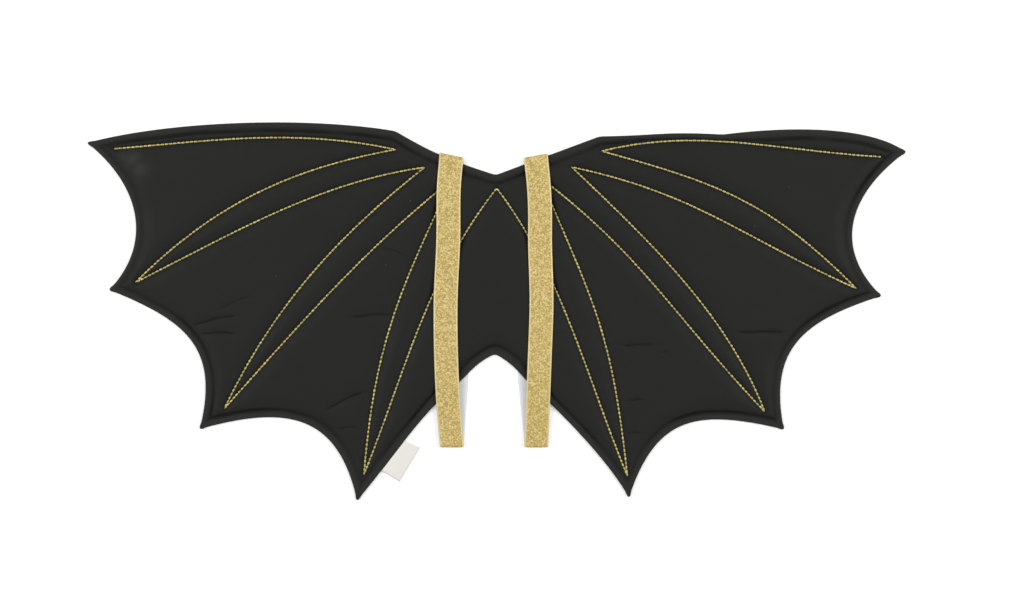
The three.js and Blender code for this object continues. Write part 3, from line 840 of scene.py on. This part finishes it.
def edge_at(x, pick):
    """Where the line of constant x crosses the outline: its highest or its lowest crossing."""
    a, b = closed_outline[:-1], closed_outline[1:]
    crossed = (a[:, 0] > x) != (b[:, 0] > x)
    a, b = a[crossed], b[crossed]
    return pick(a[:, 1] + (b[:, 1] - a[:, 1]) * (x - a[:, 0]) / (b[:, 0] - a[:, 0]))


def stretched_over(supports):
    """The line that a stretched band takes over a row of supports, each a place and a height."""
    band = []
    for support in supports:
        while len(band) > 1:
            (ax, az), (bx, bz) = band[-2], band[-1]
            if (bx - ax) * (support[1] - bz) - (bz - az) * (support[0] - bx) < 0:
                break
            band.pop()
        band.append(tuple(support))
    return np.array(band)


def smooth_route(path, count=60):
    """Smooth line through a strap's few places."""
    points = np.array(path, float)
    at = np.linspace(0, 1, count)
    along, aside = points.T
    slopes = np.gradient(aside, along)
    result = []
    for share in at:
        i = min(max(int(np.searchsorted(along, share)) - 1, 0), len(along) - 2)
        gap = along[i + 1] - along[i]
        t = (share - along[i]) / gap
        result.append(
            aside[i] * (2 * t**3 - 3 * t**2 + 1)
            + slopes[i] * gap * (t**3 - 2 * t**2 + t)
            + aside[i + 1] * (3 * t**2 - 2 * t**3)
            + slopes[i + 1] * gap * (t**3 - t**2)
        )
    return at, np.array(result)


FOLD_STEPS = 12
TAIL_STEPS = 60
STRAP_STEP = 0.0011
COLUMN_STEP = 0.0009


def strap_mesh(side, out, path):
    """Corners and faces of one strap, with each corner's share of selvedge and of plain back."""
    top_x = middle_of_wings[0] + side * out * HALF_SPAN
    seam_level = STRAP_THICKNESS / 2 + SEAM_GAP
    fold_level = EDGE_THICKNESS + SEAM_GAP + STRAP_THICKNESS / 2
    top_radius = (fold_level - seam_level) / 2
    fold_y = edge_at(top_x, np.max) + STRAP_TOP_LOOP - top_radius
    tail_y = panel_low.y + STRAP_TAIL * DROP + TAIL_FOLD_RADIUS
    tail_level = STRAP_THICKNESS / 2 + 2 * TAIL_FOLD_RADIUS
    along, aside = smooth_route(path)

    def middle_x(y):
        return top_x + side * STRAP_WIDTH * np.interp((fold_y - y) / (fold_y - tail_y), along, aside)

    below = np.abs(top_points[:, 0] - middle_x(top_points[:, 1])) < STRAP_WIDTH / 2 + 0.001
    below &= (top_points[:, 1] > tail_y) & (top_points[:, 1] < fold_y)
    clearance = SEAM_GAP + STRAP_THICKNESS / 2
    supports = np.stack([top_points[below, 1], top_height[below] + clearance], axis=1)
    supports = supports[np.argsort(supports[:, 0])]
    band = stretched_over([(tail_y, tail_level), *supports, (fold_y, fold_level)])

    half = STRAP_WIDTH / 2 - SELVEDGE_ROUND
    columns = np.linspace(-half, half, round(STRAP_WIDTH / COLUMN_STEP) + 1)
    slope = edge_at(top_x + half, np.max) - edge_at(top_x - half, np.max)
    turn = np.linspace(0, np.pi, FOLD_STEPS + 1)
    steps = round((fold_y - tail_y) / STRAP_STEP)
    down = np.linspace(fold_y, tail_y, steps + 1)[1:-1]
    seam_x = middle_x(edge_at(float(middle_x(tail_y)), np.min)) - side * TAIL_DRIFT
    threads = []
    for across in columns:
        lean = slope / 2 * across / STRAP_WIDTH
        top_seam = edge_at(top_x + across, np.max) + SEAM_GAP
        fold_start = max(fold_y + lean, top_seam + SEAM_GAP)
        lower_seam = edge_at(float(seam_x) + across, np.min) - SEAM_GAP
        back = np.linspace(tail_y, lower_seam, TAIL_STEPS + 1)[1:]
        relax = np.exp(-(fold_y - down) / 0.012)
        x = np.concatenate(
            [
                [top_x + across],
                np.full(FOLD_STEPS + 1, top_x + across),
                middle_x(down) + across,
                np.full(FOLD_STEPS + 1, middle_x(tail_y) + across),
                np.linspace(middle_x(tail_y), seam_x, TAIL_STEPS + 1)[1:] + across,
            ]
        )
        y = np.concatenate(
            [
                [top_seam],
                fold_start + top_radius * np.sin(turn),
                down + lean * relax,
                tail_y - TAIL_FOLD_RADIUS * np.sin(turn),
                back,
            ]
        )
        z = np.concatenate(
            [
                [seam_level],
                seam_level + top_radius * (1 - np.cos(turn)),
                np.interp(down, band[:, 0], band[:, 1]),
                tail_level - TAIL_FOLD_RADIUS * (1 - np.cos(turn)),
                np.full(TAIL_STEPS, STRAP_THICKNESS / 2),
            ]
        )
        threads.append(np.stack([x, y, z], axis=1))
    threads = np.array(threads)
    ahead = np.gradient(threads, axis=1)
    away = np.stack([np.zeros(ahead.shape[:2]), -ahead[..., 2], ahead[..., 1]], axis=2)
    away = -away / np.linalg.norm(away, axis=2)[..., None]
    distance = half - np.abs(columns)
    thin = 1 - smooth_step(distance, SELVEDGE_WIDTH * 0.7, SELVEDGE_WIDTH * 1.15)
    thick = STRAP_THICKNESS + (SELVEDGE_THICKNESS - STRAP_THICKNESS) * thin
    thick *= np.sqrt(np.clip(distance / 0.0005 + 0.15, 0, 1))
    number, stations = len(columns), threads.shape[1]
    bumps = np.array(
        [
            [noise.noise((i * 0.42, s * 0.42, side * 3.0)) for s in range(stations)]
            for i in range(number)
        ]
    )
    half_thick = away * (thick / 2)[:, None, None]
    upper = threads + half_thick + away * (YARN_HEIGHT * bumps * (1 - thin)[:, None])[..., None]
    lower = threads - half_thick
    lower[..., 2] = np.maximum(lower[..., 2], 0)
    upper[..., 2] = np.maximum(upper[..., 2], 0)
    size = 2 * number
    corners, border_share, back_share = [], [], []
    for s in range(stations):
        corners += [*upper[:, s], *lower[::-1, s]]
        border_share += [*thin, *thin[::-1]]
        at_border = 1 if s >= stations - TAIL_STEPS else 0
        back_share += [at_border, *[0] * (number - 2), at_border] + [1] * number
    faces = []
    for s in range(stations - 1):
        for i in range(size):
            a, b = s * size + i, s * size + (i + 1) % size
            faces.append((b, a, a + size, b + size))
    faces.append(tuple(range(size)))
    faces.append(tuple(reversed(range((stations - 1) * size, stations * size))))
    return corners, faces, border_share, back_share


for name, side, out, path in STRAPS:
    corners, faces, border_share, back_share = strap_mesh(side, out, path)
    strap = mesh_object(f"arm_strap_{name}", corners, faces, glitter)
    paint(strap, {"selvedge": border_share, "backing": back_share})
    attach(strap, "root")
    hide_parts(f"strap_{name}")

# Label. A folded tab of white satin ribbon, sewn into the seam of the left wing's inner edge. It
# lies flat on the floor beside the wing and bears nothing.
LABEL_LENGTH = 0.037
LABEL_REACH = 0.0165
LABEL_FLARE = 0.0045
LABEL_LEAN = 0.0035
LABEL_SPREAD = 0.0027
LABEL_THICKNESS = 0.0008
LABEL_RIPPLE = 0.0003
LABEL_DROOP = 1.6
LABEL_THIN_EDGE = 0.55
LABEL_PLACE = 0.367

# Polyester satin ribbon with fine ribs along its length: warm white, with a soft sheen across the
# ribs. They are drawn 1.2 mm apart, coarser than real ones, so that they show.
satin, tree, shader = new_material("white satin ribbon, woven", Roughness=0.38, IOR=1.5)
shader.inputs["Sheen Weight"].default_value = 0.1
where = add_node(tree, "ShaderNodeTexCoord").outputs["Object"]
ribs = add_node(tree, "ShaderNodeMapping", {"Vector": where, "Rotation": (0, 0, math.radians(37))})
rib_wave = add_node(
    tree, "ShaderNodeTexWave", {"Vector": ribs.outputs[0], "Scale": ridge_scale(1.21), "Distortion": 0.4}
)
rib_bump = add_node(
    tree, "ShaderNodeBump", {"Height": rib_wave.outputs["Fac"], "Strength": 0.2, "Distance": 0.0001}
)
tree.links.new(rib_bump.outputs[0], shader.inputs["Normal"])
shader.inputs["Base Color"].default_value = linear("#D9D6D0")

seam = row_curve(place(-1, *LEFT_EDGES[-3][1:3]), LEFT_EDGES[-2], -1)
seam_along = lengths_along(seam)
seam_outward = -across_of(seam, closed=False)
LABEL_COLUMNS = 24
LABEL_ROWS = 12
sewn_level = EDGE_THICKNESS / 2


def label_face(side):
    """Rows of corners of one face, from the sewn side to the free one."""
    grid = []
    for column in range(LABEL_COLUMNS + 1):
        share = column / LABEL_COLUMNS
        at = LABEL_PLACE * seam_along[-1] + (share - 0.5) * LABEL_LENGTH
        start = np.array([np.interp(at, seam_along, seam[:, i]) for i in (0, 1)])
        outward = np.array([np.interp(at, seam_along, seam_outward[:, i]) for i in (0, 1)])
        along = np.array([-outward[1], outward[0]])
        reach = LABEL_REACH + LABEL_FLARE * (1 - share)
        sewn = start + outward * SEAM_GAP
        lean = LABEL_LEAN + LABEL_SPREAD * (share - 0.5)
        free = start + outward * reach + along * lean
        line = []
        for row in range(LABEL_ROWS + 1):
            t = row / LABEL_ROWS
            x, y = sewn + (free - sewn) * t
            level = sewn_level * (1 - t) ** LABEL_DROOP + LABEL_THICKNESS / 2
            level += LABEL_RIPPLE * math.sin(math.pi * t) * (1 + noise.noise((share * 3, t * 2, 4)))
            thin = LABEL_THIN_EDGE if row == LABEL_ROWS or column in (0, LABEL_COLUMNS) else 1
            line.append((x, y, level + side * thin * LABEL_THICKNESS / 2))
        grid.append(line)
    return grid


upper, lower = label_face(1), label_face(-1)
width = LABEL_ROWS + 1
corners = [corner for line in upper + lower for corner in line]
under = width * (LABEL_COLUMNS + 1)
faces = []
for column in range(LABEL_COLUMNS):
    for row in range(LABEL_ROWS):
        a = column * width + row
        faces.append((a, a + 1, a + width + 1, a + width))
        faces.append((under + a + width, under + a + width + 1, under + a + 1, under + a))
rim = [column * width for column in range(LABEL_COLUMNS + 1)]
rim += [LABEL_COLUMNS * width + row for row in range(1, width)]
rim += [column * width + LABEL_ROWS for column in range(LABEL_COLUMNS - 1, -1, -1)]
rim += list(range(LABEL_ROWS - 1, 0, -1))
for a, b in zip(rim, rim[1:] + rim[:1]):
    faces.append((a, b, under + b, under + a))
label = mesh_object("label_tab", corners, faces, satin)
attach(label, "root")
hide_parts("label")

# Floor, light and camera. A plain white studio floor, lit evenly, seen from straight above. Matt
# white paper on a light table: it glows a little, so that shadows stay faint.
floor_paper, tree, shader = new_material("white studio paper, matt", Roughness=0.9)
shader.inputs["Base Color"].default_value = linear("#F8F8F7")
shader.inputs["Specular IOR Level"].default_value = 0.1
shader.inputs["Emission Color"].default_value = linear("#FFFFFF")
shader.inputs["Emission Strength"].default_value = 0.09
floor_corners = [(-4, -4, 0), (4, -4, 0), (4, 4, 0), (-4, 4, 0)]
floor = mesh_object("floor", floor_corners, [(0, 1, 2, 3)], floor_paper)

scene = bpy.context.scene
scene.view_settings.view_transform = "Standard"
world = bpy.data.worlds.new("studio")
world.use_nodes = True
world.node_tree.nodes["Background"].inputs["Color"].default_value = (1, 1, 1, 1)
world.node_tree.nodes["Background"].inputs["Strength"].default_value = 0.66
scene.world = world

for name, x in (("left", -1.5), ("right", 1.5)):
    lamp = bpy.data.lights.new(f"softbox_{name}", "AREA")
    lamp.shape = "RECTANGLE"
    lamp.size = 0.9
    lamp.size_y = 1.2
    lamp.energy = 19.5
    softbox = bpy.data.objects.new(f"softbox_{name}", lamp)
    softbox.location = (x, 0.4, 1.3)
    softbox.rotation_euler = (-softbox.location).to_track_quat("-Z", "Y").to_euler()
    scene.collection.objects.link(softbox)

# The camera looks straight down, and its picture is 1.021 m wide at the level of the cloth.
VIEW_HEIGHT = 2.5
SEEN_WIDTH = 1.021
SEEN_MIDDLE = (0.01547, 0.00896)
CLOTH_LEVEL = 0.005
SENSOR_WIDTH = 36
camera = bpy.data.objects.new("camera", bpy.data.cameras.new("camera"))
camera.data.sensor_width = SENSOR_WIDTH
camera.data.lens = SENSOR_WIDTH * VIEW_HEIGHT / SEEN_WIDTH
camera.location = (*SEEN_MIDDLE, VIEW_HEIGHT + CLOTH_LEVEL)
camera.rotation_euler = (0, 0, 0)
scene.collection.objects.link(camera)
scene.camera = camera
